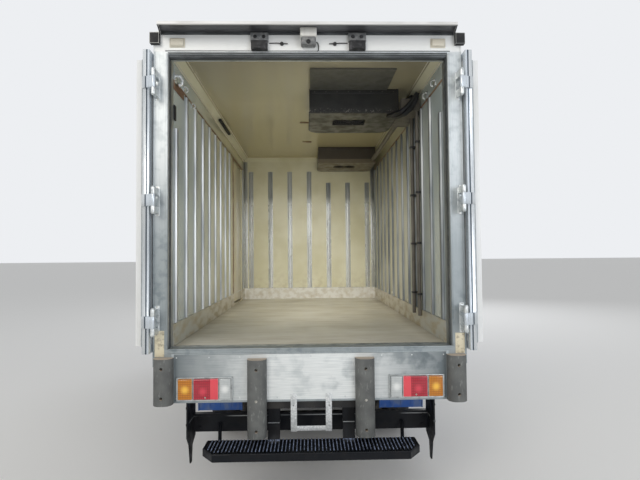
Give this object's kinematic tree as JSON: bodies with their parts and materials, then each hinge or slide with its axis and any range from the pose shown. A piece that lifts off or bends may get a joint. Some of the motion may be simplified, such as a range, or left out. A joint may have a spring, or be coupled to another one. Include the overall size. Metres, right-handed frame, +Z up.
{
  "type": "refrigerated truck",
  "caption": "Small cab-over refrigerated truck with an insulated van body, rear doors folded back along its sides, a tilting cab, steered front wheels and twin rear wheels.",
  "frame": {"origin": "on the ground, in the middle of the truck's plan outline", "axes": "+X to the truck's right, +Y forward from the rear doors to the cab, +Z up"},
  "size_m": [2.062, 5.24, 2.8699],
  "materials": {
    "chassis_black": "satin",
    "under_body_black": "matt",
    "white_panel": "gloss",
    "cream_lining": "gloss",
    "worn_floor": "satin, worn",
    "stainless": "brushed",
    "visor_white": "gloss",
    "rail_aluminium": "satin",
    "evaporator_grey": "satin",
    "pipe_cover": "satin",
    "unit_white": "gloss",
    "step_black": "matt",
    "buffer_rubber": "matt",
    "fitting_black": "matt",
    "lamp_lens": "gloss",
    "guard_blue": "satin",
    "axle_black": "satin",
    "engine_grey": "matt",
    "tank_grey": "satin",
    "cab_blue": "gloss",
    "bumper_grey": "satin",
    "headlamp_clear": "gloss",
    "window_glass": "gloss",
    "seat_fabric": "woven",
    "trim_black": "grained",
    "tyre": "matt",
    "rim_silver": "satin",
    "knuckle_iron": "matt"
  },
  "bodies": {
    "truck": {"chassis_frame": "chassis_black", "subframe": "under_body_black", "van_floor": "worn_floor", "van_wall_left": "cream_lining", "van_wall_right": "cream_lining", "van_front_wall": "cream_lining", "van_roof": "cream_lining", "rear_frame": "stainless", "rear_sill": "stainless", "rear_visor": "visor_white", "header_fittings": "fitting_black", "wall_rails": "rail_aluminium", "evaporators": "evaporator_grey", "drain_pipes": "pipe_cover", "condenser_unit": "unit_white", "rear_step": "step_black", "underrun_guard": "step_black", "buffers": "buffer_rubber", "tail_lamps": "lamp_lens", "plate_bracket": "stainless", "rear_mudguards": "guard_blue", "rear_axle": "axle_black", "front_axle": "axle_black", "engine_block": "engine_grey", "fuel_tank": "tank_grey", "battery_box": "tank_grey", "side_guards": "rail_aluminium", "front_fenders": "guard_blue", "front_bumper": "bumper_grey", "headlamps": "headlamp_clear", "rear_hinges": "stainless", "side_hinges": "stainless"},
    "cab": {"cab_shell": "cab_blue", "cab_floor": "cab_blue", "cab_back": "cab_blue", "cab_roof": "cab_blue", "cab_glass": "window_glass", "seats": "seat_fabric", "dashboard": "trim_black", "mirrors": "trim_black", "front_grille": "trim_black"},
    "cab_door_left": {"cab_door_left": "cab_blue", "cab_door_glass_left": "window_glass"},
    "cab_door_right": {"cab_door_right": "cab_blue", "cab_door_glass_right": "window_glass"},
    "rear_door_left": {"rear_door_left": "white_panel"},
    "rear_door_right": {"rear_door_right": "white_panel"},
    "side_door": {"side_door": "white_panel"},
    "steering_wheel": {"steering_wheel": "trim_black"},
    "knuckle_left": {"knuckle_left": "knuckle_iron"},
    "knuckle_right": {"knuckle_right": "knuckle_iron"},
    "front_wheel_left": {"front_tyre_left": "tyre", "front_rim_left": "rim_silver"},
    "front_wheel_right": {"front_tyre_right": "tyre", "front_rim_right": "rim_silver"},
    "rear_wheel_left": {"rear_tyres_left": "tyre", "rear_rims_left": "rim_silver"},
    "rear_wheel_right": {"rear_tyres_right": "tyre", "rear_rims_right": "rim_silver"}
  },
  "joints": [
    {"name": "rear_door_left_swing", "type": "hinge", "parent": "truck", "child": "rear_door_left", "pos_m": [-0.905, -2.546, 1.842], "axis": [0, 0, 1], "range_deg": [0, 270]},
    {"name": "rear_door_right_swing", "type": "hinge", "parent": "truck", "child": "rear_door_right", "pos_m": [0.905, -2.546, 1.842], "axis": [0, 0, -1], "range_deg": [0, 270]},
    {"name": "side_door_swing", "type": "hinge", "parent": "truck", "child": "side_door", "pos_m": [-0.98, 0.647, 1.79], "axis": [0, 0, -1], "range_deg": [0, 170]},
    {"name": "cab_tilt", "type": "hinge", "parent": "truck", "child": "cab", "pos_m": [0, 2.36, 0.545], "axis": [-1, 0, 0], "range_deg": [0, 45]},
    {"name": "cab_door_left_swing", "type": "hinge", "parent": "cab", "child": "cab_door_left", "pos_m": [-0.862, 2.333, 1.15], "axis": [0, 0, -1], "range_deg": [0, 68]},
    {"name": "cab_door_right_swing", "type": "hinge", "parent": "cab", "child": "cab_door_right", "pos_m": [0.862, 2.333, 1.15], "axis": [0, 0, 1], "range_deg": [0, 68]},
    {"name": "steer_left", "type": "hinge", "parent": "truck", "child": "knuckle_left", "pos_m": [-0.6, 1.58, 0.348], "axis": [0, 0, 1], "range_deg": [-33, 33]},
    {"name": "steer_right", "type": "hinge", "parent": "truck", "child": "knuckle_right", "pos_m": [0.6, 1.58, 0.348], "axis": [0, 0, 1], "range_deg": [-33, 33]},
    {"name": "steering_wheel_turn", "type": "hinge", "parent": "cab", "child": "steering_wheel", "pos_m": [0.43, 2.06, 1.33], "axis": [0, -0.5, 0.866], "range_deg": [-528, 528]},
    {"name": "front_wheel_left_roll", "type": "hinge", "parent": "knuckle_left", "child": "front_wheel_left", "pos_m": [-0.7, 1.58, 0.348], "axis": [-1, 0, 0], "continuous": true},
    {"name": "front_wheel_right_roll", "type": "hinge", "parent": "knuckle_right", "child": "front_wheel_right", "pos_m": [0.7, 1.58, 0.348], "axis": [-1, 0, 0], "continuous": true},
    {"name": "rear_wheel_left_roll", "type": "hinge", "parent": "truck", "child": "rear_wheel_left", "pos_m": [-0.62, -0.96, 0.348], "axis": [-1, 0, 0], "continuous": true},
    {"name": "rear_wheel_right_roll", "type": "hinge", "parent": "truck", "child": "rear_wheel_right", "pos_m": [0.62, -0.96, 0.348], "axis": [-1, 0, 0], "continuous": true}
  ],
  "couplings": [
    {"joint": "steer_right", "follows": "steer_left", "ratio": 1},
    {"joint": "steering_wheel_turn", "follows": "steer_left", "ratio": 16}
  ]
}
